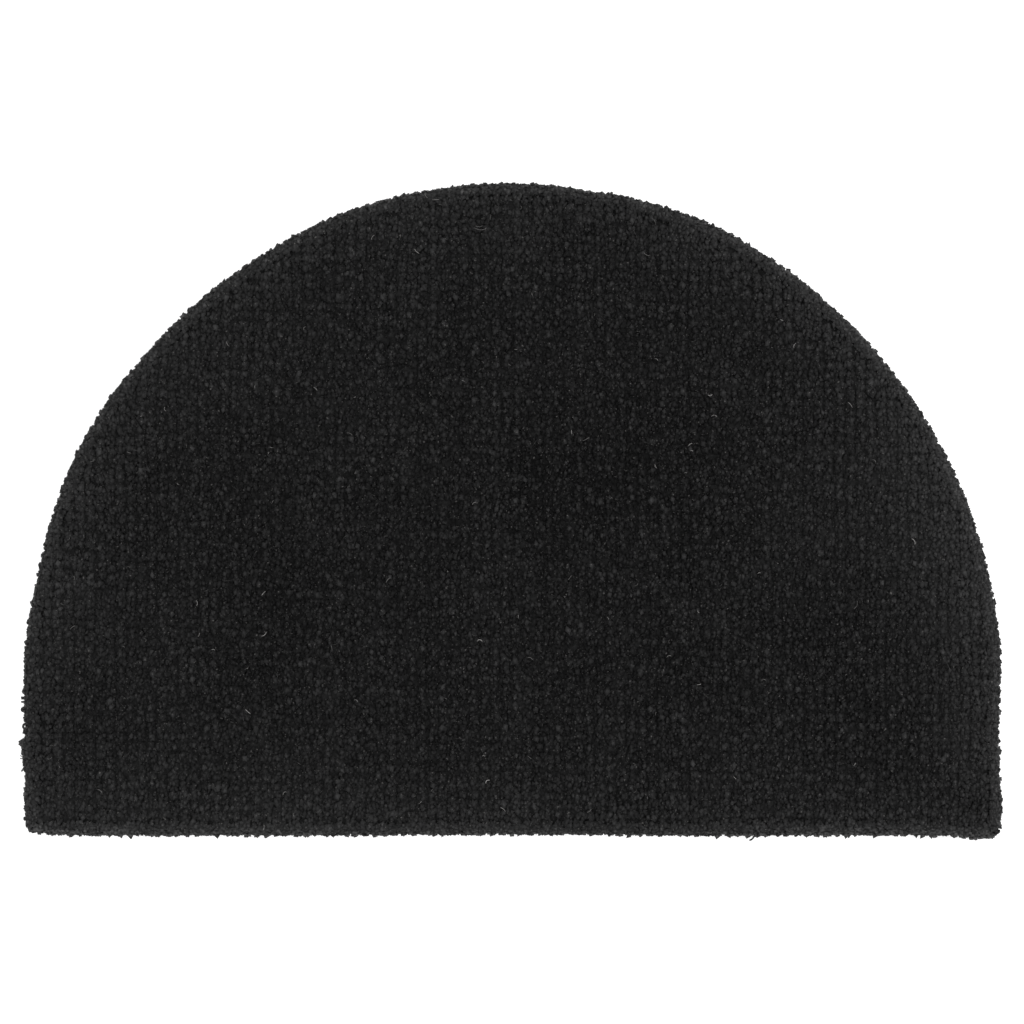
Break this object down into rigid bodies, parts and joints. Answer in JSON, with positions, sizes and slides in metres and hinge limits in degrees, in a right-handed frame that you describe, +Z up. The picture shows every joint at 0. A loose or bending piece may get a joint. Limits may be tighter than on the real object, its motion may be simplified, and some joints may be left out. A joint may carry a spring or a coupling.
{
  "type": "half round coir doormat",
  "caption": "Half round black doormat: a short, level brush pile in close rows on a thin flat backing, with one straight edge and one round edge.",
  "frame": {"origin": "under the middle of the mat's bounding box, on the flat underside", "axes": "+X along the straight edge, +Y from the straight edge to the round one, +Z up through the pile"},
  "size_m": [0.6036, 0.403, 0.0152],
  "materials": {
    "coir_black": "matt"
  },
  "bodies": {
    "root": {"coir_mat": "coir_black"}
  },
  "joints": []
}
